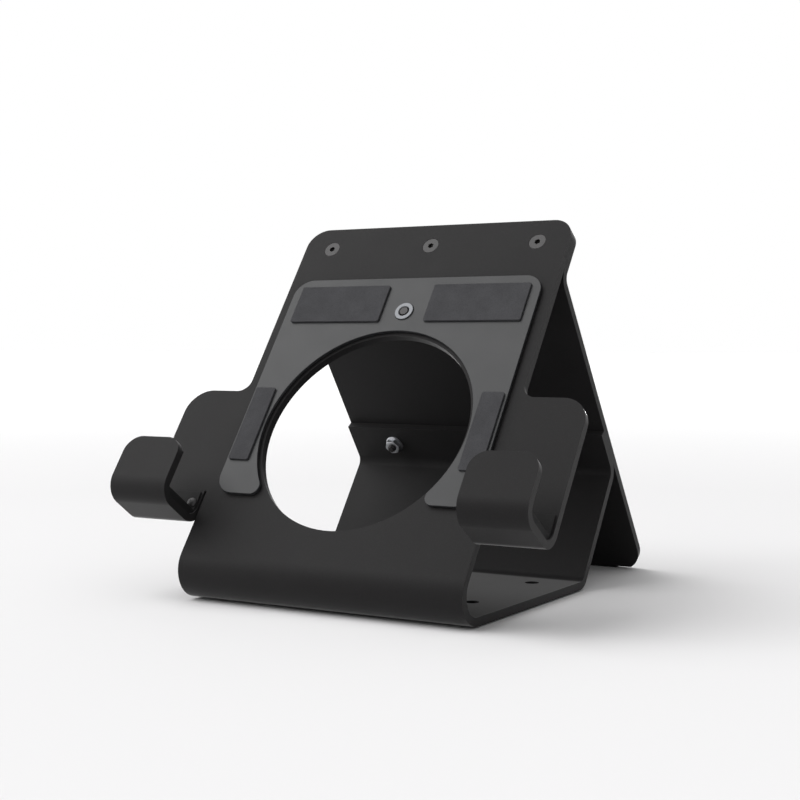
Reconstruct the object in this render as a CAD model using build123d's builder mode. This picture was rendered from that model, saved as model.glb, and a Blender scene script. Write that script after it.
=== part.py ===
from build123d import *
from math import pi, radians, sin, cos, tan
import os

os.makedirs("parts", exist_ok=True)

# Lengths are millimetres. +Z is up and the front is towards -Y.
# +X is to the right of someone who faces the stand.

# Bent sheets
sheet = 3.5
strip_width = 138.5
lean_angle = 35.3
front_radius = 12.7
top_corner_radius = 10.0
rear_foot = 104.5
rear_radius = 8.0
lip_height = 24.0
lip_radius = 8.0
leg_radius = 8.0
leg_clearance = 4.17
flange_length = 30.1
foot_corner_radius = 14.0
overrun = 1.0

# Round cut-out in the front sheet
cutout_land = 19.75
cutout_start = 16.0

# Hooks and the wings that carry them
hook_width = 30.0
hook_slit = 1.2
hook_floor = 13.6
hook_reach = 26.0
hook_top = 42.4
hook_radius = 9.0
hook_corner_radius = 8.0
wing_low = 31.0
wing_high = 84.0
wing_corner_radius = 12.0
wing_root_radius = 6.0

# Holes for bolting the base to a desk
base_hole_radius = 3.25
base_hole_inset = 18.25
base_hole_start = 30.0
base_hole_land = 16.5

# Rubber feet and the strip under the leg
foot_height = 0.8
foot_size = 14.0
foot_corner = 2.0
foot_inset = 13.25
foot_lead = 16.0

# Rubber liners in the hooks
liner_margin = 1.0
liner_pad = 3.8
liner_front_skin = 1.5
liner_rear_skin = 0.8
liner_front_drop = 4.4
liner_rear_drop = 1.0
liner_outer_radius = 6.0
liner_inner_radius = 0.8
rivet_margin = 0.4
rivet_head_radius = 2.3
rivet_head_height = 1.2
rivet_edge_share = 0.6
rivet_shank_radius = 1.2
rivet_tail_radius = 2.0
rivet_tail_height = 0.8

# Plate that rides on the front sheet, and its travel
running_gap = 0.3
slide_travel = 12.0
plate_thickness = 1.5
plate_inset = 5.25
plate_low = 30.0
plate_band = 29.5
plate_corner_radius = 9.0
plate_tip_radius = 4.0
plate_opening_margin = 1.5

# Foam pads on the plate
pad_thickness = 1.0
side_pad_margin = 1.25
side_pad_length = 38.0
top_pad_margin = 4.75
pad_clearance = 7.0

# Headed studs welded to the plate, in keyholes of the front sheet
stud_inset = 7.0
stud_low_inset = 12.0
stud_high_inset = 20.0
stud_shank_radius = 2.5
stud_head_radius = 4.5
stud_head_height = 1.8
keyhole_clearance = 0.8
fit_clearance = 0.05

# Tamper-proof screw that clamps the plate from behind
lock_inset = 19.0
lock_screw_radius = 2.5
lock_head_radius = 4.75
lock_head_height = 2.75
lock_edge_share = 0.5
lock_socket_flats = 3.0
lock_socket_depth = 1.6
lock_insert_radius = 4.5
lock_insert_stand = 0.6

# M4 screws and nuts
screw_radius = 2.0
hole_clearance = 0.2
countersink_radius = 4.0
countersink_clearance = 0.1
countersink_angle = 90.0
countersunk_socket_flats = 2.5
countersunk_socket_depth = 1.5
button_radius = 3.8
button_height = 2.2
button_socket_flats = 2.5
button_socket_depth = 1.3
nut_flats = 7.0
nut_height = 3.2
thread_end = 1.0
top_screw_count = 3
top_screw_inset = 15.25
top_screw_drop = 12.0
brace_screw_inset = 24.25
brace_nut_clearance = 4.8

# Worked out from the sizes above
lean = radians(lean_angle)
back, rise = sin(lean), cos(lean)
half = sheet / 2
bevel_width = sheet / rise
bevel_step = sheet * tan(lean)
front_turn = (pi / 2 + lean) / 2
rear_turn = (pi / 2 - lean) / 2
front_tangent = front_radius * tan(front_turn)
hook_inner = strip_width / 2 + hook_slit
hook_centre = hook_inner + hook_width / 2
hook_outer = hook_inner + hook_width
screw_hole_radius = screw_radius + hole_clearance
base_hole_pitch = rear_foot - base_hole_start - base_hole_land

# Cut-out, plate and lock screw, as distances up the front sheet from its bend
cutout_radius = strip_width / 2 - cutout_land
cutout_centre = cutout_start + cutout_radius
plate_opening_radius = cutout_radius + plate_opening_margin
plate_width = strip_width - 2 * plate_inset
plate_high = cutout_centre + plate_opening_radius + plate_band
stud_x = plate_width / 2 - stud_inset
stud_low_rise = plate_low + stud_low_inset
stud_high_rise = plate_high - stud_high_inset
keyhole_entry_radius = stud_head_radius + keyhole_clearance
lock_rise = plate_high - lock_inset

# The leg leaves the front sheet just above the lock screw's highest place
leg_corner_rise = lock_rise + slide_travel + lock_head_radius + leg_clearance
front_height = leg_corner_rise + flange_length
leg_length = front_tangent + leg_corner_rise - bevel_step
leg_foot = bevel_width - front_tangent + 2 * back * leg_length
brace_reach = (leg_foot - rear_foot) / 2 / back

# The origin is under the middle of the stand's outline, on the surface that it stands on
hook_bend_rise = front_tangent + hook_floor + hook_radius
hook_bend_stand = hook_reach - hook_radius
front_edge = hook_bend_rise * back - hook_bend_stand * rise - hook_radius - front_tangent
rear_edge = leg_foot + bevel_width
contact_y = -(front_edge + rear_edge) / 2

# Side view: across is towards the rear from the front bend's contact line, up is from the base's underside
side = Plane(origin=(0, contact_y, foot_height), x_dir=(0, 1, 0), z_dir=(1, 0, 0))
upward = Vector(back, rise)
forward = Vector(-back, rise)

# Front face of the front sheet: up is along the sheet from the front bend, out is away from the sheet
face_up = Vector(0, back, rise)
face_out = Vector(0, -rise, back)
face_start = Vector(0, contact_y - front_tangent, foot_height) + face_up * front_tangent
face = Plane(origin=face_start, x_dir=(1, 0, 0), z_dir=face_out)
hook_side = Plane(origin=face_start, x_dir=face_out, z_dir=(-1, 0, 0))

# Inner face of the leg: up is along the leg, out is towards the rear
leg_out = Vector(0, rise, back)
leg_face = Plane(origin=(0, contact_y + leg_foot, foot_height), x_dir=(-1, 0, 0), z_dir=leg_out)

# Places on the front face and on the leg, as across and up
stud_places = [
    (side_sign * stud_x, stud_rise)
    for side_sign in (-1, 1)
    for stud_rise in (stud_low_rise, stud_high_rise)
]
lock_place = (0, lock_rise)
rivet_x = hook_inner + liner_margin + rivet_head_radius + rivet_margin
rivet_rise = hook_floor + sheet + liner_pad + liner_inner_radius + rivet_head_radius + rivet_margin
rivet_places = [(-rivet_x, rivet_rise), (rivet_x, rivet_rise)]
top_screw_span = strip_width - 2 * top_screw_inset
top_screw_pitch = top_screw_span / (top_screw_count - 1)
top_screw_row = front_height - top_screw_drop
top_screw_places = [
    (step * top_screw_pitch - top_screw_span / 2, top_screw_row)
    for step in range(top_screw_count)
]
brace_screw_x = strip_width / 2 - brace_screw_inset
brace_screw_row = brace_reach + lip_radius * tan(lean) + nut_flats / 2 + brace_nut_clearance
brace_screw_places = [(-brace_screw_x, brace_screw_row), (brace_screw_x, brace_screw_row)]

# Front sheet, base and rear plate, bent from one blank with the wings and the hooks
with BuildPart() as stand_body:
    # Hooks: each is a channel bent forward from its wing
    for side_sign in (-1, 1):
        with BuildSketch(hook_side.offset(-side_sign * hook_centre)):
            with BuildLine():
                FilletPolyline(
                    (-half, wing_low + sheet),
                    (-half, hook_floor + half),
                    (hook_reach - half, hook_floor + half),
                    (hook_reach - half, hook_top),
                    radius=hook_radius - half,
                )
            trace(line_width=sheet)
        extrude(amount=hook_width / 2, both=True)
        tip_edges = stand_body.edges(Select.LAST).filter_by(Axis((0, 0, 0), face_out))
        fillet(tip_edges.sort_by(Axis(face_start, face_out))[-2:], hook_corner_radius)

    # Wings, behind what the stand holds
    with BuildSketch(face):
        with Locations((0, (wing_low + wing_high) / 2)):
            Rectangle(2 * hook_outer, wing_high - wing_low)
        fillet(vertices().group_by(Axis.Y)[-1], wing_corner_radius)
    extrude(amount=-sheet)

    # The strip: front sheet, base, rear plate and the lip that meets the leg, along the middle of the sheet
    with BuildSketch(side):
        with BuildLine():
            front_corner = Vector(half * tan(front_turn) - front_tangent, half)
            rear_corner = Vector(rear_foot - half * tan(rear_turn), half)
            lip_corner = rear_corner + upward * (brace_reach - half * tan(rear_turn) - half * tan(lean))
            FilletPolyline(
                front_corner + upward * (front_tangent + front_height - half * tan(front_turn)),
                front_corner,
                rear_corner,
                lip_corner,
                lip_corner + forward * (lip_height - half * tan(lean)),
                radius=[front_radius - half, rear_radius - half, lip_radius - half],
            )
        trace(line_width=sheet)
    extrude(amount=strip_width / 2, both=True)

    # Rounded corners at the top, and soft roots where the wings leave the strip
    edge_rows = stand_body.edges().filter_by(Axis((0, 0, 0), face_out)).group_by(Axis(face_start, face_up))
    fillet(edge_rows[-1], top_corner_radius)
    wing_roots = stand_body.edges().filter_by(Axis((0, 0, 0), face_out)).filter_by(
        lambda edge: abs(face.to_local_coords(edge.center()).Y - wing_high) < running_gap
        and abs(abs(edge.center().X) - strip_width / 2) < running_gap
    )
    fillet(wing_roots, wing_root_radius)

    # Round cut-out, keyholes and the lock screw's slot
    with BuildSketch(face.offset(overrun)):
        with Locations((0, cutout_centre)):
            Circle(cutout_radius)
        for place_x, place_rise in stud_places:
            with Locations((place_x, place_rise + slide_travel)):
                Circle(keyhole_entry_radius)
            with Locations((place_x, place_rise + slide_travel / 2)):
                SlotCenterToCenter(slide_travel, 2 * (stud_shank_radius + running_gap), rotation=90)
        with Locations((0, lock_rise + slide_travel / 2)):
            SlotCenterToCenter(slide_travel, 2 * (lock_screw_radius + running_gap), rotation=90)
        with Locations(*rivet_places):
            Circle(rivet_shank_radius + fit_clearance)
    extrude(amount=-sheet - 2 * overrun, mode=Mode.SUBTRACT)

    # Countersunk holes for the screws that hold the leg
    with Locations(*[face * Pos(place_x, place_rise) for place_x, place_rise in top_screw_places]):
        CounterSinkHole(
            screw_hole_radius,
            countersink_radius + countersink_clearance,
            depth=sheet + overrun,
            counter_sink_angle=countersink_angle,
        )

    # Holes in the lip
    with BuildSketch(leg_face):
        with Locations(*brace_screw_places):
            Circle(screw_hole_radius)
    extrude(amount=-sheet, mode=Mode.SUBTRACT)

    # Fixing holes in the base
    with BuildSketch(Plane.XY.offset(foot_height)):
        with Locations((0, contact_y + base_hole_start + base_hole_pitch / 2)):
            with GridLocations(strip_width - 2 * base_hole_inset, base_hole_pitch, 2, 2):
                Circle(base_hole_radius)
    extrude(amount=sheet, mode=Mode.SUBTRACT)

# Leg: a second bent sheet, from its foot up to the flange on the back of the front sheet
with BuildPart() as rear_leg:
    with BuildSketch(side):
        with BuildLine():
            foot_middle = Vector(leg_foot, 0) + Vector(rise, back) * half
            leg_corner = foot_middle + forward * (leg_length - half * tan(lean))
            FilletPolyline(
                foot_middle - forward * bevel_step,
                leg_corner,
                leg_corner + upward * (flange_length - half * tan(lean)),
                radius=leg_radius - half,
            )
        trace(line_width=sheet)
    extrude(amount=strip_width / 2, both=True)
    foot_corners = rear_leg.edges().filter_by(Axis((0, 0, 0), leg_out)).group_by(Axis.Z)
    fillet(foot_corners[0], foot_corner_radius)
    split(bisect_by=Plane.XY.offset(foot_height), keep=Keep.TOP)
    flange_rows = rear_leg.edges().filter_by(Axis((0, 0, 0), face_out)).group_by(Axis(face_start, face_up))
    fillet(flange_rows[-1], top_corner_radius)
    with BuildSketch(face.offset(-sheet)):
        with Locations(*top_screw_places):
            Circle(screw_hole_radius)
    extrude(amount=-sheet, mode=Mode.SUBTRACT)
    with BuildSketch(leg_face):
        with Locations(*brace_screw_places):
            Circle(screw_hole_radius)
    extrude(amount=sheet, mode=Mode.SUBTRACT)

# Feet under the base, and the strip that the leg stands on
feet = {}
foot_start = base_hole_start - foot_lead
for depth_name, foot_y in (("front", foot_start), ("rear", foot_start + base_hole_pitch)):
    for side_name, side_sign in (("left", -1), ("right", 1)):
        with BuildPart() as base_foot:
            with BuildSketch():
                with Locations((side_sign * (strip_width / 2 - foot_inset), contact_y + foot_y)):
                    Rectangle(foot_size, foot_size)
                chamfer(vertices(), foot_corner)
            extrude(amount=foot_height)
        feet[f"foot_{depth_name}_{side_name}"] = base_foot.part

with BuildPart() as leg_edge_strip:
    with BuildSketch():
        with Locations((0, contact_y + leg_foot + bevel_width / 2)):
            Rectangle(strip_width - 2 * foot_corner_radius, bevel_width)
    extrude(amount=foot_height)

# Moulded rubber liner in each hook: a thick pad on the floor and a thin skin up both flanges
liner_floor = hook_floor + sheet
liner_front = hook_reach - sheet
liner_front_top = hook_top - liner_front_drop
liner_rear_top = wing_low - liner_rear_drop
liners = {}
for side_name, side_sign in (("left", -1), ("right", 1)):
    with BuildPart() as liner:
        with BuildSketch(hook_side.offset(-side_sign * hook_centre)):
            with BuildLine():
                outside = FilletPolyline(
                    (0, liner_rear_top),
                    (0, liner_floor),
                    (liner_front, liner_floor),
                    (liner_front, liner_front_top),
                    radius=liner_outer_radius,
                )
                inside = FilletPolyline(
                    (liner_front - liner_front_skin, liner_front_top),
                    (liner_front - liner_front_skin, liner_floor + liner_pad),
                    (liner_rear_skin, liner_floor + liner_pad),
                    (liner_rear_skin, liner_rear_top),
                    radius=liner_inner_radius,
                )
                Line(outside @ 1, inside @ 0)
                Line(inside @ 1, outside @ 0)
            make_face()
        extrude(amount=hook_width / 2 - liner_margin, both=True)
        with BuildSketch(face.offset(-overrun)):
            with Locations((side_sign * rivet_x, rivet_rise)):
                Circle(rivet_shank_radius + fit_clearance)
        extrude(amount=liner_rear_skin + 2 * overrun, mode=Mode.SUBTRACT)
    liners[f"hook_liner_{side_name}"] = liner.part

with BuildPart() as liner_rivets:
    with BuildSketch(face.offset(-sheet - rivet_tail_height)):
        with Locations(*rivet_places):
            Circle(rivet_tail_radius)
    extrude(amount=rivet_tail_height)
    with BuildSketch(face.offset(-sheet)):
        with Locations(*rivet_places):
            Circle(rivet_shank_radius)
    extrude(amount=sheet + liner_rear_skin)
    with BuildSketch(face.offset(liner_rear_skin)):
        with Locations(*rivet_places):
            Circle(rivet_head_radius)
    extrude(amount=rivet_head_height)
    rivet_rims = liner_rivets.faces().sort_by(Axis(face_start, face_out))[-2:].edges()
    chamfer(rivet_rims, rivet_head_height * rivet_edge_share)

# Plate in front of the sheet, an arch round the cut-out
plate_rear = running_gap
plate_front = plate_rear + plate_thickness
with BuildPart() as tablet_plate:
    with BuildSketch(face.offset(plate_rear)):
        with Locations((0, (plate_low + plate_high) / 2)):
            RectangleRounded(plate_width, plate_high - plate_low, plate_corner_radius)
        with Locations((0, cutout_centre)):
            Circle(plate_opening_radius, mode=Mode.SUBTRACT)
        with Locations(lock_place):
            Circle(lock_insert_radius + fit_clearance, mode=Mode.SUBTRACT)
    extrude(amount=plate_thickness)
    plate_rows = tablet_plate.edges().filter_by(Axis((0, 0, 0), face_out)).group_by(Axis(face_start, face_up))
    fillet(plate_rows[0].sort_by(lambda edge: abs(edge.center().X))[:2], plate_tip_radius)

# Foam pads on the plate's face, which stick it to what the stand holds
side_pad_width = plate_width / 2 - plate_opening_radius - 2 * side_pad_margin
side_pad_x = (plate_width / 2 + plate_opening_radius) / 2
top_pad_start = lock_insert_radius + pad_clearance
top_pad_end = plate_width / 2 - top_pad_margin
top_pad_x = (top_pad_start + top_pad_end) / 2
top_pad_rise = plate_high - plate_band / 2
pads = {}
for side_name, side_sign in (("left", -1), ("right", 1)):
    with BuildPart() as side_pad:
        with BuildSketch(face.offset(plate_front)):
            with Locations((side_sign * side_pad_x, cutout_centre)):
                Rectangle(side_pad_width, side_pad_length)
        extrude(amount=pad_thickness)
    pads[f"side_pad_{side_name}"] = side_pad.part
    with BuildPart() as top_pad:
        with BuildSketch(face.offset(plate_front)):
            with Locations((side_sign * top_pad_x, top_pad_rise)):
                Rectangle(top_pad_end - top_pad_start, plate_band - 2 * top_pad_margin)
        extrude(amount=pad_thickness)
    pads[f"top_pad_{side_name}"] = top_pad.part

# Studs: a shank from the plate through each keyhole, and a head behind the sheet
head_front = -sheet - running_gap
with BuildPart() as plate_studs:
    with BuildSketch(face.offset(head_front - stud_head_height)):
        with Locations(*stud_places):
            Circle(stud_head_radius)
    extrude(amount=stud_head_height)
    with BuildSketch(face.offset(head_front)):
        with Locations(*stud_places):
            Circle(stud_shank_radius)
    extrude(amount=plate_rear - head_front)

# Lock screw and the threaded insert in the plate
insert_front = plate_front + lock_insert_stand
with BuildPart() as lock_insert:
    with BuildSketch(face.offset(plate_rear)):
        with Locations(lock_place):
            Circle(lock_insert_radius)
            Circle(lock_screw_radius + fit_clearance, mode=Mode.SUBTRACT)
    extrude(amount=plate_thickness + lock_insert_stand)

with BuildPart() as lock_screw:
    with BuildSketch(face.offset(head_front)):
        with Locations(lock_place):
            Circle(lock_screw_radius)
    extrude(amount=insert_front - head_front)
    with BuildSketch(face.offset(head_front)):
        with Locations(lock_place):
            Circle(lock_head_radius)
    extrude(amount=-lock_head_height)
    head_rim = lock_screw.faces().sort_by(Axis(face_start, face_out))[0].edges()
    chamfer(head_rim, lock_head_height * lock_edge_share)
    with BuildSketch(face.offset(head_front - lock_head_height)):
        with Locations(lock_place):
            RegularPolygon(lock_socket_flats / 2, 6, major_radius=False)
    extrude(amount=lock_socket_depth, mode=Mode.SUBTRACT)

# Screws and nuts that hold the leg's flange to the front sheet
flange_back = -2 * sheet
with BuildPart() as leg_top_screws:
    with BuildSketch(face):
        with Locations(*top_screw_places):
            Circle(screw_radius)
    extrude(amount=flange_back - nut_height - thread_end)
    with Locations(*[face * Pos(place_x, place_rise) for place_x, place_rise in top_screw_places]):
        Cone(
            bottom_radius=screw_radius,
            top_radius=countersink_radius,
            height=countersink_radius - screw_radius,
            align=(Align.CENTER, Align.CENTER, Align.MAX),
        )
    with BuildSketch(face):
        with Locations(*top_screw_places):
            RegularPolygon(countersunk_socket_flats / 2, 6, major_radius=False)
    extrude(amount=-countersunk_socket_depth, mode=Mode.SUBTRACT)

with BuildPart() as leg_top_nuts:
    with BuildSketch(face.offset(flange_back)):
        with Locations(*top_screw_places):
            RegularPolygon(nut_flats / 2, 6, major_radius=False)
            Circle(screw_radius + fit_clearance, mode=Mode.SUBTRACT)
    extrude(amount=-nut_height)

# Screws and nuts that hold the rear plate's lip to the leg
with BuildPart() as brace_screws:
    with BuildSketch(leg_face.offset(sheet)):
        with Locations(*brace_screw_places):
            Circle(screw_radius)
    extrude(amount=-2 * sheet - nut_height - thread_end)
    with BuildSketch(leg_face.offset(sheet)):
        with Locations(*brace_screw_places):
            Circle(button_radius)
    extrude(amount=button_height)
    with BuildSketch(leg_face.offset(sheet + button_height)):
        with Locations(*brace_screw_places):
            RegularPolygon(button_socket_flats / 2, 6, major_radius=False)
    extrude(amount=-button_socket_depth, mode=Mode.SUBTRACT)

with BuildPart() as brace_nuts:
    with BuildSketch(leg_face.offset(-sheet)):
        with Locations(*brace_screw_places):
            RegularPolygon(nut_flats / 2, 6, major_radius=False)
            Circle(screw_radius + fit_clearance, mode=Mode.SUBTRACT)
    extrude(amount=-nut_height)

pieces = {
    "stand_body": stand_body.part,
    "rear_leg": rear_leg.part,
    "leg_edge_strip": leg_edge_strip.part,
    "liner_rivets": liner_rivets.part,
    "tablet_plate": tablet_plate.part,
    "plate_studs": plate_studs.part,
    "lock_insert": lock_insert.part,
    "lock_screw": lock_screw.part,
    "leg_top_screws": leg_top_screws.part,
    "leg_top_nuts": leg_top_nuts.part,
    "brace_screws": brace_screws.part,
    "brace_nuts": brace_nuts.part,
    **feet,
    **liners,
    **pads,
}
for piece_name, piece in pieces.items():
    piece.label = piece_name
    export_step(piece, f"parts/{piece_name}.step")
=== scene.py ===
from math import cos, pi, radians, sin, sqrt

import bpy
from mathutils import Matrix, Vector


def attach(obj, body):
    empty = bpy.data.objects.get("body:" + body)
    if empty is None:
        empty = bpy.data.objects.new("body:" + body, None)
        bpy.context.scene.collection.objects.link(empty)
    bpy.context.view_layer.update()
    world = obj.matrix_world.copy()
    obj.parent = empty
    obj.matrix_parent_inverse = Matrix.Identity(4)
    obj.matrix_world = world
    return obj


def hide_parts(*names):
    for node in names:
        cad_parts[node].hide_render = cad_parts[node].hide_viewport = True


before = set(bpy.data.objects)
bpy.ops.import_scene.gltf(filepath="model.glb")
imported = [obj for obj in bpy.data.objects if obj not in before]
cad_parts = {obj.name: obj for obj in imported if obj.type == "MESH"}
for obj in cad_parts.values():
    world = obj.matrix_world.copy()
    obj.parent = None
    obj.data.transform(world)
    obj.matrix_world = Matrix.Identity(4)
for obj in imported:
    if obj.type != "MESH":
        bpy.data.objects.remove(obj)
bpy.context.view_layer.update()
print("frame loaded,", len(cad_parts), "nodes")

mm = 0.001

# where the two sheets lie, as the frame has them
sheets = {
    "lean": radians(35.3),
    "thickness": 3.5 * mm,
    "contactY": -80.155 * mm,
    "bendTangent": 24.553 * mm,
    "floorGap": 0.8 * mm,
    "legFoot": 176.201 * mm,
}
sheetThick = sheets["thickness"] / mm
contactY = sheets["contactY"] / mm
plateGap, plateThick = 0.3, 1.5  # millimetres: from the front sheet to the plate, and the plate itself
back, rise = sin(sheets["lean"]), cos(sheets["lean"])
across = Vector((1, 0, 0))
faceUp, faceOut = Vector((0, back, rise)), Vector((0, -rise, back))
legUp, legOut = Vector((0, -back, rise)), Vector((0, rise, back))
bendCorner = Vector((0, sheets["contactY"] - sheets["bendTangent"], sheets["floorGap"]))
faceStart = bendCorner + faceUp * sheets["bendTangent"]
legStart = Vector((0, sheets["contactY"] + sheets["legFoot"], sheets["floorGap"]))


def onFace(x, up, out):  # millimetres on the front sheet, z comes out of its face
    turn = Matrix((across, faceUp, faceOut)).transposed().to_4x4()
    return Matrix.Translation(faceStart + (across * x + faceUp * up + faceOut * out) * mm) @ turn


def onLeg(x, up, out):  # millimetres on the inner face of the leg, z comes out at the rear
    turn = Matrix((-across, legUp, legOut)).transposed().to_4x4()
    return Matrix.Translation(legStart + (-across * x + legUp * up + legOut * out) * mm) @ turn


def onFloor(x, y, up):
    return Matrix.Translation(Vector((x, y, up)) * mm)


# camera: the view that the photograph has
cameraView = {
    "place": (0.33246, -0.58786, 0.11048),
    "turn": (radians(87.87), radians(-0.07), radians(30.45)),
    "lens": 66.26,
    "near": 0.01,
    "far": 60,
}
bpy.ops.object.select_all(action="DESELECT")
bpy.ops.object.camera_add(location=cameraView["place"], rotation=cameraView["turn"])
camera = bpy.context.object
camera.name = "photoCamera"
camera.data.lens = cameraView["lens"]
camera.data.clip_start = cameraView["near"]
camera.data.clip_end = cameraView["far"]
bpy.context.scene.camera = camera
print("camera placed")


# shader helpers

def newGroup(name, inputs, outputs):
    group = bpy.data.node_groups.new(name, "ShaderNodeTree")
    for label, kind, value in inputs:
        socket = group.interface.new_socket(label, in_out="INPUT", socket_type=kind)
        socket.default_value = value
    for label, kind in outputs:
        group.interface.new_socket(label, in_out="OUTPUT", socket_type=kind)
    return group, group.nodes.new("NodeGroupInput"), group.nodes.new("NodeGroupOutput")


def addNode(tree, kind, values=None, **settings):
    node = tree.nodes.new(kind)
    for key, value in settings.items():
        setattr(node, key, value)
    for key, value in (values or {}).items():
        node.inputs[key].default_value = value
    return node


def link(tree, source, target):
    tree.links.new(source, target)


# fine grain: a small bump with a slow cloud over it, both on the piece's own coordinates
def makeGrainGroup():
    group, inside, outside = newGroup(
        "fineGrain",
        [("Grain Size", "NodeSocketFloat", 0.0005), ("Cloud Size", "NodeSocketFloat", 0.02)],
        [("Grain", "NodeSocketFloat"), ("Cloud", "NodeSocketFloat"), ("Fleck", "NodeSocketFloat")],
    )
    place = addNode(group, "ShaderNodeTexCoord")
    perGrain = addNode(group, "ShaderNodeMath", {0: 1.0}, operation="DIVIDE")
    perCloud = addNode(group, "ShaderNodeMath", {0: 1.0}, operation="DIVIDE")
    grain = addNode(group, "ShaderNodeTexNoise", {"Detail": 2.0, "Roughness": 0.55})
    cloud = addNode(group, "ShaderNodeTexNoise", {"Detail": 4.0, "Roughness": 0.6})
    fleck = addNode(group, "ShaderNodeTexVoronoi", {"Randomness": 1.0}, feature="F1")
    fleckRange = {"From Min": 0.12, "From Max": 0.34, "To Min": 1.0, "To Max": 0.0}
    fleckMask = addNode(group, "ShaderNodeMapRange", fleckRange)
    link(group, inside.outputs["Grain Size"], perGrain.inputs[1])
    link(group, inside.outputs["Cloud Size"], perCloud.inputs[1])
    for texture, scale in ((grain, perGrain), (cloud, perCloud), (fleck, perGrain)):
        link(group, place.outputs["Object"], texture.inputs["Vector"])
        link(group, scale.outputs[0], texture.inputs["Scale"])
    link(group, fleck.outputs["Distance"], fleckMask.inputs["Value"])
    link(group, grain.outputs["Fac"], outside.inputs["Grain"])
    link(group, cloud.outputs["Fac"], outside.inputs["Cloud"])
    link(group, fleckMask.outputs["Result"], outside.inputs["Fleck"])
    return group


# worn edges and a painted edge highlight: a lighter colour where the surface turns sharply, broken up by
# noise
def makeWornHighlightGroup():
    group, inside, outside = newGroup(
        "wornEdgeAndHighlight",
        [("Radius", "NodeSocketFloat", 0.0008), ("Break Up", "NodeSocketFloat", 0.6)],
        [("Edge", "NodeSocketFloat")],
    )
    place = addNode(group, "ShaderNodeTexCoord")
    surface = addNode(group, "ShaderNodeNewGeometry")
    rounded = addNode(group, "ShaderNodeBevel", samples=6)
    facing = addNode(group, "ShaderNodeVectorMath", operation="DOT_PRODUCT")
    turnRange = {"From Min": 0.985, "From Max": 0.86, "To Min": 0.0, "To Max": 1.0}
    turned = addNode(group, "ShaderNodeMapRange", turnRange)
    patches = addNode(group, "ShaderNodeTexNoise", {"Scale": 160.0, "Detail": 5.0, "Roughness": 0.65})
    patchRange = {"From Min": 0.42, "From Max": 0.66, "To Min": 0.0, "To Max": 1.0}
    patchy = addNode(group, "ShaderNodeMapRange", patchRange)
    keep = addNode(group, "ShaderNodeMath", {0: 1.0}, operation="SUBTRACT")
    share = addNode(group, "ShaderNodeMath", operation="MULTIPLY_ADD")
    wornAndHighlit = addNode(group, "ShaderNodeMath", operation="MULTIPLY")
    link(group, inside.outputs["Radius"], rounded.inputs["Radius"])
    link(group, rounded.outputs["Normal"], facing.inputs[0])
    link(group, surface.outputs["Normal"], facing.inputs[1])
    link(group, facing.outputs["Value"], turned.inputs["Value"])
    link(group, place.outputs["Object"], patches.inputs["Vector"])
    link(group, patches.outputs["Fac"], patchy.inputs["Value"])
    link(group, inside.outputs["Break Up"], keep.inputs[1])
    link(group, patchy.outputs["Result"], share.inputs[0])
    link(group, inside.outputs["Break Up"], share.inputs[1])
    link(group, keep.outputs[0], share.inputs[2])
    link(group, turned.outputs["Result"], wornAndHighlit.inputs[0])
    link(group, share.outputs[0], wornAndHighlit.inputs[1])
    link(group, wornAndHighlit.outputs[0], outside.inputs["Edge"])
    return group


grainGroup = makeGrainGroup()
wornHighlightGroup = makeWornHighlightGroup()


def useGroup(tree, group, **values):
    node = tree.nodes.new("ShaderNodeGroup")
    node.node_tree = group
    for key, value in values.items():
        node.inputs[key.replace("_", " ")].default_value = value
    return node


def mixColour(tree, factor, first, second):
    node = addNode(tree, "ShaderNodeMix", data_type="RGBA")
    link(tree, factor, node.inputs["Factor"])
    for value, socket in ((first, node.inputs["A"]), (second, node.inputs["B"])):
        if isinstance(value, tuple):
            socket.default_value = (*value, 1)
        else:
            link(tree, value, socket)
    return node.outputs["Result"]


def ranged(tree, value, low, high, fromLow=0.25, fromHigh=0.75):
    limits = {"From Min": fromLow, "From Max": fromHigh, "To Min": low, "To Max": high}
    node = addNode(tree, "ShaderNodeMapRange", limits)
    link(tree, value, node.inputs["Value"])
    return node.outputs["Result"]


def finishMaterial(look):
    material = bpy.data.materials.new(look["name"])
    material.use_nodes = True
    tree = material.node_tree
    shader = tree.nodes["Principled BSDF"]
    grain = useGroup(tree, grainGroup, Grain_Size=look["grainSize"], Cloud_Size=look["cloudSize"])
    edge = useGroup(tree, wornHighlightGroup, Radius=look["edgeRadius"], Break_Up=look["edgeBreakUp"])
    cloudShare = ranged(tree, grain.outputs["Cloud"], 0.0, 1.0)
    clouded = mixColour(tree, cloudShare, look["dark"], look["light"])
    fleckShare = ranged(tree, grain.outputs["Fleck"], 0.0, look["fleckAmount"], 0.0, 1.0)
    flecked = mixColour(tree, fleckShare, clouded, look["fleck"])
    # edges: wear and a painted highlight, a lighter colour mixed in where the surface turns sharply
    wearHighlightShare = ranged(tree, edge.outputs["Edge"], 0.0, look["wearHighlightAmount"], 0.0, 1.0)
    wornAndHighlit = mixColour(tree, wearHighlightShare, flecked, look["edge"])
    link(tree, wornAndHighlit, shader.inputs["Base Color"])
    rough = ranged(tree, grain.outputs["Cloud"], look["roughLow"], look["roughHigh"])
    link(tree, rough, shader.inputs["Roughness"])
    bump = addNode(tree, "ShaderNodeBump", {"Strength": look["bumpStrength"], "Distance": look["bumpDepth"]})
    link(tree, grain.outputs["Grain"], bump.inputs["Height"])
    link(tree, bump.outputs["Normal"], shader.inputs["Normal"])
    shader.inputs["Metallic"].default_value = look["metallic"]
    shader.inputs["Specular IOR Level"].default_value = look["specular"]
    shader.inputs["Sheen Weight"].default_value = look.get("sheen", 0.0)
    shader.inputs["Sheen Roughness"].default_value = look.get("sheenRough", 0.5)
    return material


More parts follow.
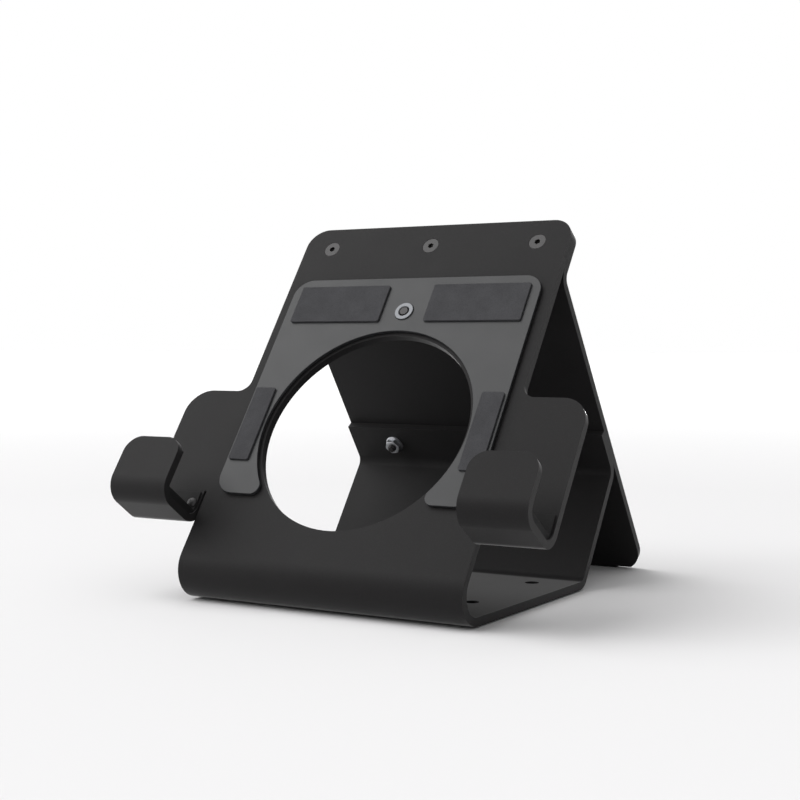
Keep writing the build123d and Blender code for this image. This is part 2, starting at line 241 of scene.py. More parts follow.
powderCoatLook = {
    "name": "powderCoat",
    "dark": (0.0105, 0.0100, 0.0103), "light": (0.0130, 0.0123, 0.0127),
    "fleck": (0.030, 0.029, 0.030), "fleckAmount": 0.35,
    "edge": (0.030, 0.029, 0.030), "wearHighlightAmount": 0.25, "edgeRadius": 0.0007, "edgeBreakUp": 0.5,
    "grainSize": 0.00055, "cloudSize": 0.022,
    "roughLow": 0.50, "roughHigh": 0.58,
    "bumpStrength": 0.35, "bumpDepth": 0.00006,
    "metallic": 0.0, "specular": 0.11, "sheen": 0.46, "sheenRough": 0.32,
}
plateCoatLook = {
    "name": "plateCoat",
    "dark": (0.016, 0.0165, 0.0175), "light": (0.021, 0.0216, 0.023),
    "fleck": (0.040, 0.041, 0.044), "fleckAmount": 0.25,
    "edge": (0.08, 0.08, 0.085), "wearHighlightAmount": 0.35, "edgeRadius": 0.0004, "edgeBreakUp": 0.7,
    "grainSize": 0.0004, "cloudSize": 0.012,
    "roughLow": 0.38, "roughHigh": 0.48,
    "bumpStrength": 0.25, "bumpDepth": 0.00003,
    "metallic": 0.0, "specular": 0.34,
}
# near-black moulded rubber, its colour set darker still as painted shade in the hooks
rubberLook = {
    "name": "mouldedRubber",
    "dark": (0.0050, 0.0049, 0.0050), "light": (0.0085, 0.0083, 0.0084),
    "fleck": (0.022, 0.022, 0.021), "fleckAmount": 0.18,
    "edge": (0.014, 0.014, 0.014), "wearHighlightAmount": 0.5, "edgeRadius": 0.0005, "edgeBreakUp": 0.3,
    "grainSize": 0.00035, "cloudSize": 0.009,
    "roughLow": 0.68, "roughHigh": 0.82,
    "bumpStrength": 0.45, "bumpDepth": 0.00005,
    "metallic": 0.0, "specular": 0.32,
}
foamLook = {
    "name": "foamTape",
    "dark": (0.040, 0.040, 0.043), "light": (0.058, 0.058, 0.062),
    "fleck": (0.018, 0.018, 0.020), "fleckAmount": 0.8,
    "edge": (0.085, 0.085, 0.09), "wearHighlightAmount": 0.25, "edgeRadius": 0.0003, "edgeBreakUp": 0.3,
    "grainSize": 0.00045, "cloudSize": 0.008,
    "roughLow": 0.86, "roughHigh": 0.95,
    "bumpStrength": 0.7, "bumpDepth": 0.00012,
    "metallic": 0.0, "specular": 0.2,
}
blackOxideLook = {
    "name": "blackOxide",
    "dark": (0.020, 0.019, 0.019), "light": (0.034, 0.033, 0.034),
    "fleck": (0.07, 0.066, 0.062), "fleckAmount": 0.2,
    "edge": (0.22, 0.21, 0.20), "wearHighlightAmount": 0.55, "edgeRadius": 0.00025, "edgeBreakUp": 0.6,
    "grainSize": 0.00025, "cloudSize": 0.003,
    "roughLow": 0.30, "roughHigh": 0.42,
    "bumpStrength": 0.2, "bumpDepth": 0.00002,
    "metallic": 0.55, "specular": 0.5,
}
zincLook = {
    "name": "zincPlating",
    "dark": (0.40, 0.41, 0.43), "light": (0.54, 0.55, 0.57),
    "fleck": (0.30, 0.30, 0.31), "fleckAmount": 0.3,
    "edge": (0.68, 0.68, 0.69), "wearHighlightAmount": 0.4, "edgeRadius": 0.00025, "edgeBreakUp": 0.4,
    "grainSize": 0.0003, "cloudSize": 0.004,
    "roughLow": 0.30, "roughHigh": 0.42,
    "bumpStrength": 0.2, "bumpDepth": 0.00002,
    "metallic": 1.0, "specular": 0.5,
}
# the same zinc plating as the nuts, rougher, with its colour painted darker as painted shade on the insert,
# which faces the light
shadedZincLook = {
    **zincLook, "name": "shadedZinc",
    "dark": (0.145, 0.15, 0.16), "light": (0.20, 0.205, 0.215),
    "fleck": (0.11, 0.11, 0.115), "edge": (0.30, 0.30, 0.31),
    "roughLow": 0.46, "roughHigh": 0.58,
}
paintedRivetLook = {
    "name": "paintedRivet",
    "dark": (0.030, 0.029, 0.030), "light": (0.042, 0.040, 0.041),
    "fleck": (0.060, 0.058, 0.060), "fleckAmount": 0.2,
    "edge": (0.12, 0.12, 0.12), "wearHighlightAmount": 0.4, "edgeRadius": 0.0003, "edgeBreakUp": 0.6,
    "grainSize": 0.0003, "cloudSize": 0.004,
    "roughLow": 0.34, "roughHigh": 0.46,
    "bumpStrength": 0.2, "bumpDepth": 0.00002,
    "metallic": 0.0, "specular": 0.5,
}
powderCoat = finishMaterial(powderCoatLook)
plateCoat = finishMaterial(plateCoatLook)
mouldedRubber = finishMaterial(rubberLook)
foamTape = finishMaterial(foamLook)
blackOxide = finishMaterial(blackOxideLook)
paintedRivet = finishMaterial(paintedRivetLook)
zincPlating = finishMaterial(zincLook)
shadedZinc = finishMaterial(shadedZincLook)
print("materials made")


# modelling helpers: lengths in millimetres and angles in degrees, but the two weld distances in metres
meshCare = {
    "weld": 1e-7, "sheetWeld": 2e-6, "flatAngle": 0.4,
    "closeAfterBevel": 0.0005, "closeAfterCut": 0.008, "cornerSegments": 8,
}
threadShape = {"depth": 0.54, "rise": 0.42, "crest": 0.58}  # shares of the pitch


def clearSelection():
    bpy.ops.object.select_all(action="DESELECT")


def pickOnly(piece):
    clearSelection()
    piece.select_set(True)
    bpy.context.view_layer.objects.active = piece


def selectFaces(piece, test):  # picks faces in edit mode by centre and normal
    bpy.ops.mesh.select_all(action="DESELECT")
    bpy.ops.object.mode_set(mode="OBJECT")
    for face in piece.data.polygons:
        face.select = test(face.center, face.normal)
    bpy.ops.object.mode_set(mode="EDIT")


def selectEdges(piece, test):  # picks edges in edit mode by their two ends
    bpy.ops.mesh.select_mode(type="EDGE")
    bpy.ops.mesh.select_all(action="DESELECT")
    bpy.ops.object.mode_set(mode="OBJECT")
    points = piece.data.vertices
    for edge in piece.data.edges:
        edge.select = test(points[edge.vertices[0]].co, points[edge.vertices[1]].co)
    bpy.ops.object.mode_set(mode="EDIT")


def tidyNormals():
    bpy.ops.mesh.select_all(action="SELECT")
    bpy.ops.mesh.remove_doubles(threshold=meshCare["weld"])
    bpy.ops.mesh.normals_make_consistent(inside=False)


def mergeClose(piece, distance):  # joins points that lie almost on each other
    pickOnly(piece)
    bpy.ops.object.mode_set(mode="EDIT")
    bpy.ops.mesh.select_all(action="SELECT")
    bpy.ops.mesh.remove_doubles(threshold=distance * mm)
    bpy.ops.mesh.dissolve_degenerate(threshold=distance * mm)
    bpy.ops.object.mode_set(mode="OBJECT")


def softenEdges(piece, width, segments, angle):
    pickOnly(piece)
    modifier = piece.modifiers.new("softEdges", "BEVEL")
    modifier.width = width * mm
    modifier.segments = segments
    modifier.limit_method = "ANGLE"
    modifier.angle_limit = radians(angle)
    modifier.use_clamp_overlap = True
    bpy.ops.object.modifier_apply(modifier="softEdges")
    mergeClose(piece, meshCare["closeAfterBevel"])


def shadeSoft(piece, angle=30):
    pickOnly(piece)
    bpy.ops.object.shade_smooth_by_angle(angle=radians(angle))
    # large flats stay flat beside their rounded edges
    modifier = piece.modifiers.new("flatFaces", "WEIGHTED_NORMAL")
    modifier.mode = "FACE_AREA"
    modifier.weight = 100
    modifier.keep_sharp = True
    bpy.ops.object.modifier_apply(modifier="flatFaces")


def cutWith(piece, tool, operation="DIFFERENCE"):
    pickOnly(piece)
    modifier = piece.modifiers.new("cut", "BOOLEAN")
    modifier.operation = operation
    modifier.solver = "EXACT"
    modifier.object = tool
    bpy.ops.object.modifier_apply(modifier="cut")
    bpy.data.objects.remove(tool, do_unlink=True)
    mergeClose(piece, meshCare["closeAfterCut"])


# a round piece about z, drawn from one rim to the next by extruding the cap
def turnedPiece(profile, sides):
    clearSelection()
    height, radius = profile[0]
    bpy.ops.mesh.primitive_circle_add(
        vertices=sides, radius=radius * mm, fill_type="NGON", location=(0, 0, height * mm)
    )
    piece = bpy.context.object
    bpy.ops.object.mode_set(mode="EDIT")
    bpy.ops.mesh.select_all(action="SELECT")
    for nextHeight, nextRadius in profile[1:]:
        step = (nextHeight - height) * mm
        bpy.ops.mesh.extrude_region_move(TRANSFORM_OT_translate={"value": (0, 0, step)})
        grow = nextRadius / radius
        bpy.ops.transform.resize(value=(grow, grow, 1), center_override=(0, 0, nextHeight * mm))
        height, radius = nextHeight, nextRadius
    tidyNormals()
    bpy.ops.object.mode_set(mode="OBJECT")
    bpy.ops.object.transform_apply(location=True, rotation=True, scale=True)
    return piece


def hexagonBar(flats, low, high):
    clearSelection()
    middle = (low + high) / 2 * mm
    bpy.ops.mesh.primitive_cylinder_add(
        vertices=6, radius=flats / sqrt(3) * mm, depth=(high - low) * mm, location=(0, 0, middle)
    )
    bar = bpy.context.object
    bpy.ops.object.transform_apply(location=True, rotation=True, scale=True)
    return bar


def threadProfile(low, high, radius, pitch):  # ridges from one height to the other
    direction = 1 if high > low else -1
    count = int(abs(high - low) / pitch)
    depth = pitch * threadShape["depth"]
    rows = []
    for turn in range(count):
        start = low + direction * turn * pitch
        rows.append((start, radius - depth))
        rows += [(start + direction * pitch * threadShape[part], radius) for part in ("rise", "crest")]
    return rows + [(low + direction * count * pitch, radius - depth)]


# lays copies of one model at their places and joins them to stand for one CAD node
def layOut(model, name, places, body, node, material):
    copies = []
    for place in places:
        copy = model.copy()
        copy.data = model.data.copy()
        bpy.context.scene.collection.objects.link(copy)
        copy.matrix_world = place
        copies.append(copy)
    bpy.data.objects.remove(model, do_unlink=True)
    clearSelection()
    for copy in copies:
        copy.select_set(True)
    bpy.context.view_layer.objects.active = copies[0]
    if len(copies) > 1:
        bpy.ops.object.join()
    piece = bpy.context.object
    bpy.ops.object.transform_apply(location=True, rotation=True, scale=True)
    piece.name = name
    piece.data.name = name
    piece.data.materials.clear()
    piece.data.materials.append(material)
    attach(piece, body)
    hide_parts(node)
    return piece


# the sheets keep the frame's shape and get softly rounded cut edges
sheetEdges = {
    "stand_body": {"name": "bentBody", "body": "stand", "slot": "powder_coat", "width": 0.45},
    "rear_leg": {"name": "bentLeg", "body": "stand", "slot": "powder_coat", "width": 0.45},
    "tablet_plate": {"name": "slidingPlate", "body": "plate", "slot": "plate_steel", "width": 0.25},
}
sheetCoats = {"powder_coat": powderCoat, "plate_steel": plateCoat}


def roundedSheet(node, choice):
    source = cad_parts[node]
    piece = source.copy()
    piece.data = source.data.copy()
    for key in [key for key in piece.keys() if key.startswith("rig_")]:
        del piece[key]
    piece.parent = None
    bpy.context.scene.collection.objects.link(piece)
    piece.name = choice["name"]
    piece.data.name = choice["name"]
    pickOnly(piece)
    if piece.data.has_custom_normals:
        bpy.ops.mesh.customdata_custom_splitnormals_clear()
    bpy.ops.object.mode_set(mode="EDIT")
    bpy.ops.mesh.select_all(action="SELECT")
    bpy.ops.mesh.remove_doubles(threshold=meshCare["sheetWeld"])
    bpy.ops.mesh.dissolve_limited(angle_limit=radians(meshCare["flatAngle"]))
    bpy.ops.object.mode_set(mode="OBJECT")
    softenEdges(piece, choice["width"], segments=3, angle=40)
    shadeSoft(piece, 32)
    piece.data.materials.clear()
    piece.data.materials.append(sheetCoats[choice["slot"]])
    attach(piece, choice["body"])
    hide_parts(node)
    return piece


for node, choice in sheetEdges.items():
    roundedSheet(node, choice)
print("sheets rounded")


# fasteners: lengths in millimetres, and a dome as pairs of a share of the head's height and a radius
countersunk = {
    "threadRadius": 2.0, "length": 12.0, "threadFrom": 3.4, "threadEnd": 0.5, "tipInset": 0.55, "pitch": 0.7,
    "headRadius": 3.95, "rimInset": 0.12, "rimDrop": 0.06, "rimHeight": 0.15,
    "sides": 40, "socketFlats": 2.5, "socketDepth": 1.5, "edge": 0.05,
}
button = {
    "threadRadius": 2.0, "length": 12.0, "threadFrom": 3.0, "threadEnd": 0.5, "tipInset": 0.55, "pitch": 0.7,
    "headRadius": 3.8, "headHeight": 2.2, "mouthRadius": 1.9, "mouthDrop": 0.05, "crownRadius": 2.15,
    "dome": [(0.86, 2.62), (0.66, 3.1), (0.4, 3.5), (0.18, 3.72)], "rimHeight": 0.12, "rimInset": 0.1,
    "sides": 40, "socketFlats": 2.5, "socketDepth": 1.3, "pinRadius": 0.0, "edge": 0.05,
}
nut = {
    "flats": 7.0, "height": 3.2, "chamfer": 0.35, "faceInset": 0.1,
    "flangeRadius": 4.6, "flangeEdge": 0.08, "flangeRim": 0.3, "flangeHeight": 0.9, "flangeInset": 0.3,
    "threadRadius": 2.1, "pitch": 0.7, "boreRadius": 1.75, "threadInset": 0.35,
    "mouthRadius": 2.3, "mouthDepth": 0.3, "pastEnd": 0.5, "sides": 48, "boreSides": 32, "edge": 0.08,
}
pin = {"below": 0.5, "shoulder": 0.25, "top": 0.1, "taper": 0.7, "sides": 20}
socketMouth = 1.0  # how far the socket's cutter stands out of the head
flipped = Matrix.Rotation(pi, 4, "X")


def socketCut(piece, flats, mouth, depth, pinRadius=0.0):
    tool = hexagonBar(flats, mouth - depth, mouth + socketMouth)
    if pinRadius:
        stem = [(mouth - depth - pin["below"], pinRadius), (mouth - pin["shoulder"], pinRadius)]
        crown = [(mouth - pin["top"], pinRadius * pin["taper"])]
        cutWith(tool, turnedPiece(stem + crown, pin["sides"]))
    cutWith(piece, tool)


def shankProfile(size):  # the thread and the tip, which go down from the head
    radius, length = size["threadRadius"], size["length"]
    thread = threadProfile(-size["threadFrom"], -length + size["threadEnd"], radius, size["pitch"])
    return thread + [(-length, radius - size["tipInset"])]


def countersunkScrew(size):  # z 0 is the sheet's face
    radius, rim = size["threadRadius"], size["headRadius"]
    profile = [(0.0, rim - size["rimInset"]), (-size["rimDrop"], rim), (-size["rimHeight"], rim)]
    profile += [(-rim + radius, radius)]
    piece = turnedPiece(profile + shankProfile(size), size["sides"])
    socketCut(piece, size["socketFlats"], 0.0, size["socketDepth"])
    softenEdges(piece, size["edge"], segments=1, angle=50)
    shadeSoft(piece)
    return piece


def domedScrew(size):  # z 0 is the seat of the head
    high, wide = size["headHeight"], size["headRadius"]
    profile = [(high, size["mouthRadius"]), (high - size["mouthDrop"], size["crownRadius"])]
    profile += [(high * share, radius) for share, radius in size["dome"]]
    profile += [(size["rimHeight"], wide), (0.0, wide - size["rimInset"]), (0.0, size["threadRadius"])]
    piece = turnedPiece(profile + shankProfile(size), size["sides"])
    socketCut(piece, size["socketFlats"], high, size["socketDepth"], size["pinRadius"])
    softenEdges(piece, size["edge"], segments=1, angle=50)
    shadeSoft(piece)
    return piece


def flangeNut(size):  # z 0 is the seat, the nut stands up
    height, flats, wide = size["height"], size["flats"], size["flangeRadius"]
    corner, inner = flats / sqrt(3), flats / 2 - size["faceInset"]
    piece = hexagonBar(flats, 0.0, height)
    barrel = [(0.0, inner), (size["chamfer"], corner), (height - size["chamfer"], corner), (height, inner)]
    cutWith(piece, turnedPiece(barrel, size["sides"]), "INTERSECT")
    flange = [(0.0, wide - size["flangeEdge"]), (size["flangeEdge"], wide), (size["flangeRim"], wide)]
    flange += [(size["flangeHeight"], flats / 2 - size["flangeInset"])]
    cutWith(piece, turnedPiece(flange, size["sides"]), "UNION")
    mouth, depth, past = size["mouthRadius"], size["mouthDepth"], size["pastEnd"]
    inset = size["threadInset"]
    bore = [(-past, mouth), (0.0, mouth), (depth, size["boreRadius"])]
    bore += threadProfile(inset, height - inset, size["threadRadius"], size["pitch"])[1:]
    bore += [(height - depth, size["boreRadius"]), (height, mouth), (height + past, mouth)]
    cutWith(piece, turnedPiece(bore, size["boreSides"]))
    softenEdges(piece, size["edge"], segments=2, angle=40)
    shadeSoft(piece)
    return piece


def nutPlaces(places, first, more):  # flips the nuts and turns each a little more than the last, in degrees
    turns = [Matrix.Rotation(radians(first + more * step), 4, "Z") for step in range(len(places))]
    return [place @ flipped @ turn for place, turn in zip(places, turns)]


topScrews = {"x": (-54, 0, 54), "up": 166.02, "nutTurn": (9, 17)}
braceScrews = {"x": (-45, 45), "up": 62.04 + 13.965, "nutTurn": (14, 23)}
layOut(
    countersunkScrew(countersunk), "countersunkScrews",
    [onFace(x, topScrews["up"], 0) for x in topScrews["x"]],
    "stand", "leg_top_screws", blackOxide,
)
layOut(
    domedScrew(button), "buttonScrews",
    [onLeg(x, braceScrews["up"], sheetThick) for x in braceScrews["x"]],
    "stand", "brace_screws", blackOxide,
)
layOut(
    flangeNut(nut), "flangeNuts",
    nutPlaces([onFace(x, topScrews["up"], -2 * sheetThick) for x in topScrews["x"]], *topScrews["nutTurn"]),
    "stand", "leg_top_nuts", zincPlating,
)
layOut(
    flangeNut(nut), "braceNuts",
    nutPlaces([onLeg(x, braceScrews["up"], -sheetThick) for x in braceScrews["x"]], *braceScrews["nutTurn"]),
    "stand", "brace_nuts", zincPlating,
)
print("screws and nuts made")

# lock screw and the insert in the plate
lock = {
    "up": 127.0, "runningGap": 0.3,
    "threadRadius": 2.5, "length": 6.2, "threadFrom": 1.2, "threadEnd": 0.4, "tipInset": 0.6, "pitch": 0.8,
    "headRadius": 4.75, "headHeight": 2.75, "mouthRadius": 2.2, "mouthDrop": 0.06, "crownRadius": 2.6,
    "dome": [(0.86, 3.25), (0.64, 3.95), (0.38, 4.45), (0.16, 4.7)], "rimHeight": 0.14, "rimInset": 0.12,
    "sides": 48, "socketFlats": 3.0, "socketDepth": 1.6, "pinRadius": 0.5, "edge": 0.05,
}
insert = {  # profiles as pairs of height and radius
    "body": [(0.0, 4.4), (0.1, 4.5), (1.5, 4.5), (1.95, 4.5), (2.1, 4.35)],
    "boreStart": [(-0.5, 2.75), (0.0, 2.75), (0.25, 2.5)],
    "boreEnd": [(1.95, 2.55), (2.1, 2.8), (2.6, 2.8)],
    "threadFrom": 0.3, "threadTo": 1.9, "threadRadius": 2.9, "pitch": 0.5, "clearance": 0.02,
    "sides": 48, "boreSides": 40, "edge": 0.06,
}


def lockInsert(size):  # z 0 is the plate's rear face
    piece = turnedPiece(size["body"], size["sides"])
    thread = threadProfile(size["threadFrom"], size["threadTo"], size["threadRadius"], size["pitch"])
    ridges = [(height, radius + size["clearance"]) for height, radius in thread]
    bore = size["boreStart"] + ridges + size["boreEnd"]
    cutWith(piece, turnedPiece(bore, size["boreSides"]))
    softenEdges(piece, size["edge"], segments=2, angle=40)
    shadeSoft(piece)
    return piece


layOut(
    domedScrew(lock), "pinLockScrew",
    [onFace(0, lock["up"], -(sheetThick + lock["runningGap"])) @ flipped],
    "plate", "lock_screw", blackOxide,
)
layOut(
    lockInsert(insert), "clinchInsert", [onFace(0, lock["up"], plateGap)],
    "plate", "lock_insert", shadedZinc,
)

# studs welded behind the plate, each with its head behind a keyhole
stud = {
    "x": (-57, 57), "up": (42, 126), "runningGap": 0.3,
    "headRadius": 4.5, "headHeight": 1.8, "shankRadius": 2.5, "edge": 0.05, "rimRound": 0.1,
    "backInset": 0.4, "backRise": 0.3, "dimpleDepth": 0.25, "dimpleFloor": 0.9, "dimpleRadius": 1.3,
    "sides": 40,
}


def plateStud(size):  # z 0 is the plate's rear face
    seat = -plateGap - sheetThick - size["runningGap"]
    low = seat - size["headHeight"]
    wide, shank = size["headRadius"], size["shankRadius"]
    profile = [(low + size["dimpleDepth"], size["dimpleFloor"]), (low, size["dimpleRadius"])]
    profile += [(low, wide - size["backInset"]), (low + size["backRise"], wide)]
    profile += [(seat - size["rimRound"], wide), (seat, wide - size["rimRound"]), (seat, shank), (0.0, shank)]
    piece = turnedPiece(profile, size["sides"])
    softenEdges(piece, size["edge"], segments=1, angle=50)
    shadeSoft(piece)
    return piece


layOut(
    plateStud(stud), "shoulderStuds", [onFace(x, up, plateGap) for x in stud["x"] for up in stud["up"]],
    "plate", "plate_studs", zincPlating,
)

# blind rivets that hold the liners in the hooks
rivet = {  # the head as pairs of height and radius, the tail as pairs of depth behind the sheet and radius
    "x": (-74.15, 74.15), "up": 24.4, "linerSkin": 0.8, "shankRadius": 1.2, "sides": 32,
    "head": [
        (1.08, 0.3), (1.1, 0.55), (1.06, 0.66), (1.2, 0.74), (1.17, 0.95),
        (1.05, 1.4), (0.82, 1.83), (0.5, 2.14), (0.2, 2.3), (0.0, 2.24),
    ],
    "tail": [(0.0, 1.9), (0.25, 2.0), (0.6, 1.75), (0.8, 0.9)],
}


def blindRivet(size):  # z 0 is the seat of the head on the liner, the shank goes down
    low = -size["linerSkin"] - sheetThick
    shank = [(0.0, size["shankRadius"]), (low, size["shankRadius"])]
    tail = [(low - depth, radius) for depth, radius in size["tail"]]
    piece = turnedPiece(size["head"] + shank + tail, size["sides"])
    shadeSoft(piece)
    return piece


layOut(
    blindRivet(rivet), "linerRivets", [onFace(x, rivet["up"], rivet["linerSkin"]) for x in rivet["x"]],
    "stand", "liner_rivets", paintedRivet,
)
print("lock screw, studs and rivets made")

# rubber liners in the hooks: a thick floor pad with a thin skin up each flange
liner = {
    "middle": 70.45 + 15.0, "width": 28.0, "floor": 17.1, "pad": 3.8, "reach": 22.5,
    "rearSkin": 0.8, "frontSkin": 1.5, "rearTop": 30.0, "frontTop": 38.0,
    "outerRadius": 6.0, "outerSegments": 10, "edge": 0.3, "near": 0.01, "level": 1e-6, "facing": 0.9,
}


def hookLiner(size):  # local y is up the sheet, z is out of it
    low, high = size["floor"], size["floor"] + size["pad"]
    near, level = size["near"], size["level"]
    clearSelection()
    bpy.ops.mesh.primitive_cube_add(size=1, location=(0, (low + high) / 2 * mm, size["reach"] / 2 * mm))
    piece = bpy.context.object
    piece.scale = (size["width"] * mm, (high - low) * mm, size["reach"] * mm)
    bpy.ops.object.transform_apply(location=True, rotation=True, scale=True)
    bpy.ops.object.mode_set(mode="EDIT")
    for out in (size["rearSkin"], size["reach"] - size["frontSkin"]):
        bpy.ops.mesh.select_all(action="SELECT")
        bpy.ops.mesh.bisect(plane_co=(0, 0, out * mm), plane_no=(0, 0, 1))
    padTop, facing = (high + near) * mm, size["facing"]
    skins = (
        (lambda out: out < size["rearSkin"] * mm, size["rearTop"]),
        (lambda out: out > (size["reach"] - size["frontSkin"]) * mm, size["frontTop"]),
    )
    for inSkin, top in skins:
        bpy.ops.mesh.select_mode(type="FACE")
        selectFaces(piece, lambda spot, normal: normal.y > facing and spot.y < padTop and inSkin(spot.z))
        bpy.ops.mesh.extrude_region_move(TRANSFORM_OT_translate={"value": (0, (top - high) * mm, 0)})

    def isOuterCorner(first, second):
        atFloor = max(first.y, second.y) < (low + near) * mm and abs(first.z - second.z) < level
        return atFloor and (first.z < level or first.z > (size["reach"] - near) * mm)

    selectEdges(piece, isOuterCorner)
    bpy.ops.mesh.bevel(
        offset=size["outerRadius"] * mm, segments=size["outerSegments"], affect="EDGES", clamp_overlap=False
    )
    tidyNormals()
    bpy.ops.object.mode_set(mode="OBJECT")
    softenEdges(piece, size["edge"], segments=3, angle=50)
    shadeSoft(piece, 40)
    return piece


bothSides = (("left", -1), ("right", 1))
for sideName, sideSign in bothSides:
    layOut(
        hookLiner(liner), "hookRubber" + sideName.capitalize(), [onFace(sideSign * liner["middle"], 0, 0)],
        "stand", "hook_liner_" + sideName, mouldedRubber,
    )
print("hook liners made")

# feet under the base and the strip under the leg
foot = {
    "size": 14.0, "height": 0.8, "corner": 2.4, "edge": 0.2,
    "x": 56.0, "rows": {"front": 14.0, "rear": 72.0},
}
legStrip = {"length": 110.5, "width": 4.288, "height": 0.8, "edge": 0.2}
legStripY = contactY + sheets["legFoot"] / mm + legStrip["width"] / 2


def softBlock(length, width, height, corner, edge):  # z 0 is its underside
    clearSelection()
    bpy.ops.mesh.primitive_cube_add(size=1, location=(0, 0, height / 2 * mm))
    piece = bpy.context.object
    piece.scale = (length * mm, width * mm, height * mm)
    bpy.ops.object.transform_apply(location=True, rotation=True, scale=True)
    bpy.ops.object.mode_set(mode="EDIT")
    if corner:
        selectEdges(piece, lambda first, second: abs(first.z - second.z) > height / 2 * mm)
        bpy.ops.mesh.bevel(offset=corner * mm, segments=meshCare["cornerSegments"], affect="EDGES")
    bpy.ops.mesh.select_all(action="SELECT")
    bpy.ops.mesh.normals_make_consistent(inside=False)
    bpy.ops.object.mode_set(mode="OBJECT")
    softenEdges(piece, edge, segments=3, angle=50)
    shadeSoft(piece, 40)
    return piece


layOut(
    softBlock(legStrip["length"], legStrip["width"], legStrip["height"], 0.0, legStrip["edge"]),
    "legEdgeRubber", [onFloor(0, legStripY, 0)],
    "stand", "leg_edge_strip", mouldedRubber,
)
for rowName, footY in foot["rows"].items():
    for sideName, sideSign in bothSides:
        layOut(
            softBlock(foot["size"], foot["size"], foot["height"], foot["corner"], foot["edge"]),
            "rubberFoot" + rowName.capitalize() + sideName.capitalize(),
            [onFloor(sideSign * foot["x"], contactY + footY, 0)],
            "stand", f"foot_{rowName}_{sideName}", mouldedRubber,
        )

# foam pads on the plate
pads = {
    "side": {"x": 57.5, "up": 65.5, "width": 10.5, "length": 38.0},
    "top": {"x": 35.375, "up": 131.25, "width": 47.75, "length": 20.0},
}
foam = {"thickness": 1.0, "corner": 1.0, "edge": 0.22, "seat": plateGap + plateThick}
for rowName, pad in pads.items():
    for sideName, sideSign in bothSides:
        piece = layOut(
            softBlock(pad["width"], pad["length"], foam["thickness"], foam["corner"], foam["edge"]),
            "foamPad" + rowName.capitalize() + sideName.capitalize(),
            [onFace(sideSign * pad["x"], pad["up"], foam["seat"])],
            "plate", f"{rowName}_pad_{sideName}", foamTape,
        )
print("feet, strip and pads made")

# floor and light
studio = {
    # the floor's colour near the stand, and further out a painted lighter colour and painted glow
    "floorSize": 40.0, "floorNear": (0.81, 0.805, 0.81), "paintedFloorFar": (1.0, 1.0, 1.0),
    "fadeFrom": 0.5, "fadeTo": 2.4, "paintedFarGlow": 0.06, "floorRough": 0.8, "floorSpecular": 0.1,
    "worldColour": (1.0, 1.0, 1.0), "worldLow": 0.12, "worldHigh": 0.80, "worldSeen": 1.0,
    "skyTilt": (-0.45, -0.10, 0.88), "skyFrom": -0.4, "skyTo": 0.9,
    "sunFrom": (-0.57, -0.36, 0.74), "sunPower": 2.05, "sunSpread": radians(60), "sunDistance": 2,
    "panels": [
        {
            "name": "sidePanel", "place": (0.55, -0.30, 0.75), "aim": (0, 0, 0.03),
            "size": 0.5, "power": 0.3, "spread": pi,
        },
        {
            "name": "lowPanel", "place": (-0.85, -0.40, 0.16), "aim": (0, 0, 0.03),
            "size": 0.4, "power": 1.2, "spread": pi,
        },
        {  # low behind the stand and narrow, so that it reaches the leg and not the floor
            "name": "rearPanel", "place": (-0.12, 0.60, 0.07), "aim": (0, 0.05, 0.11),
            "size": 0.10, "power": 0.17, "spread": radians(18),
        },
    ],
}
clearSelection()
bpy.ops.mesh.primitive_plane_add(size=studio["floorSize"], location=(0, 0, 0))
floor = bpy.context.object
floor.name = "studioFloor"
floorMaterial = bpy.data.materials.new("paleFloor")
floorMaterial.use_nodes = True
floorTree = floorMaterial.node_tree
floorShader = floorTree.nodes["Principled BSDF"]
# painted light: the floor grows lighter and glows further from the stand, fading it into the white backdrop
floorPlace = addNode(floorTree, "ShaderNodeTexCoord")
floorSpread = addNode(floorTree, "ShaderNodeVectorMath", operation="LENGTH")
link(floorTree, floorPlace.outputs["Object"], floorSpread.inputs[0])
paintedFloorFade = ranged(floorTree, floorSpread.outputs["Value"], 0.0, 1.0, studio["fadeFrom"], studio["fadeTo"])
floorColour = mixColour(floorTree, paintedFloorFade, studio["floorNear"], studio["paintedFloorFar"])
paintedFloorGlow = mixColour(floorTree, paintedFloorFade, (0.0, 0.0, 0.0), (studio["paintedFarGlow"],) * 3)
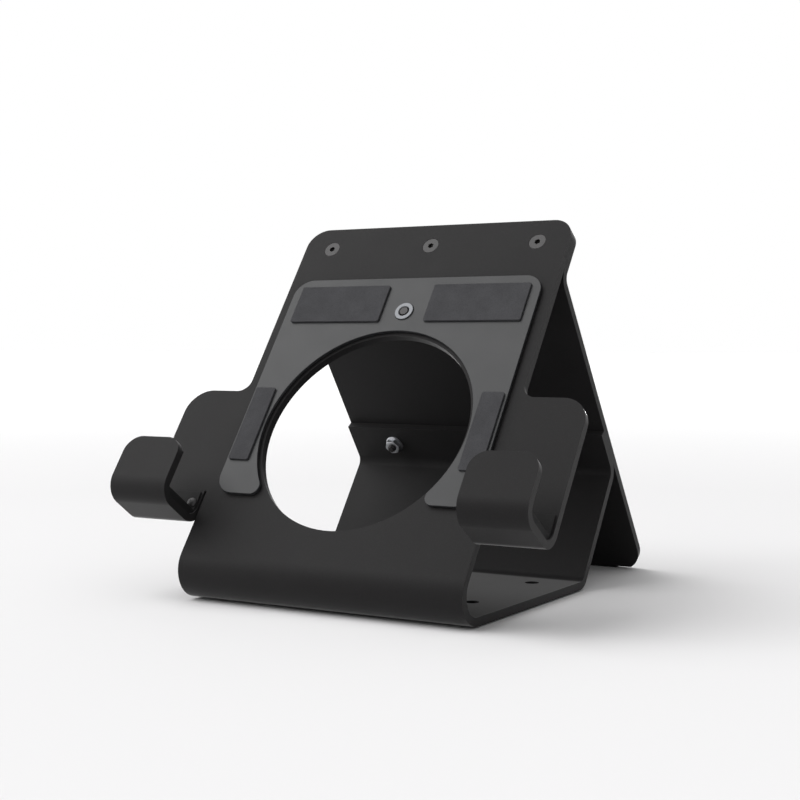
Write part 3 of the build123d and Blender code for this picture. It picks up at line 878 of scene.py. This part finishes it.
link(floorTree, floorColour, floorShader.inputs["Base Color"])
link(floorTree, paintedFloorGlow, floorShader.inputs["Emission Color"])
floorShader.inputs["Emission Strength"].default_value = 1.0
floorShader.inputs["Roughness"].default_value = studio["floorRough"]
floorShader.inputs["Specular IOR Level"].default_value = studio["floorSpecular"]
floor.data.materials.append(floorMaterial)

world = bpy.data.worlds.new("studioWorld")
bpy.context.scene.world = world
world.use_nodes = True
worldTree = world.node_tree
worldShader = worldTree.nodes["Background"]
worldShader.inputs["Color"].default_value = (*studio["worldColour"], 1)
seen = addNode(worldTree, "ShaderNodeLightPath")
skyPlace = addNode(worldTree, "ShaderNodeTexCoord")
skySide = addNode(worldTree, "ShaderNodeVectorMath", {1: studio["skyTilt"]}, operation="DOT_PRODUCT")
skyLight = addNode(worldTree, "ShaderNodeMix", data_type="FLOAT")
link(worldTree, skyPlace.outputs["Generated"], skySide.inputs[0])
link(worldTree, seen.outputs["Is Camera Ray"], skyLight.inputs["Factor"])
skyLevels = (studio["worldLow"], studio["worldHigh"], studio["skyFrom"], studio["skyTo"])
link(worldTree, ranged(worldTree, skySide.outputs["Value"], *skyLevels), skyLight.inputs["A"])
skyLight.inputs["B"].default_value = studio["worldSeen"]
link(worldTree, skyLight.outputs["Result"], worldShader.inputs["Strength"])


def addLight(kind, name, place, aim, power):
    clearSelection()
    turn = (aim - place).to_track_quat("-Z", "Y").to_euler()
    bpy.ops.object.light_add(type=kind, location=place, rotation=turn)
    lamp = bpy.context.object
    lamp.name = name
    lamp.data.energy = power
    return lamp.data


sunPlace = Vector(studio["sunFrom"]) * studio["sunDistance"]
sun = addLight("SUN", "softSun", sunPlace, Vector((0, 0, 0)), studio["sunPower"])
sun.angle = studio["sunSpread"]
for choice in studio["panels"]:
    panel = addLight("AREA", choice["name"], Vector(choice["place"]), Vector(choice["aim"]), choice["power"])
    panel.shape = "SQUARE"
    panel.size = choice["size"]
    panel.spread = choice["spread"]
bpy.context.scene.view_settings.view_transform = "Standard"
print("floor and lights placed")
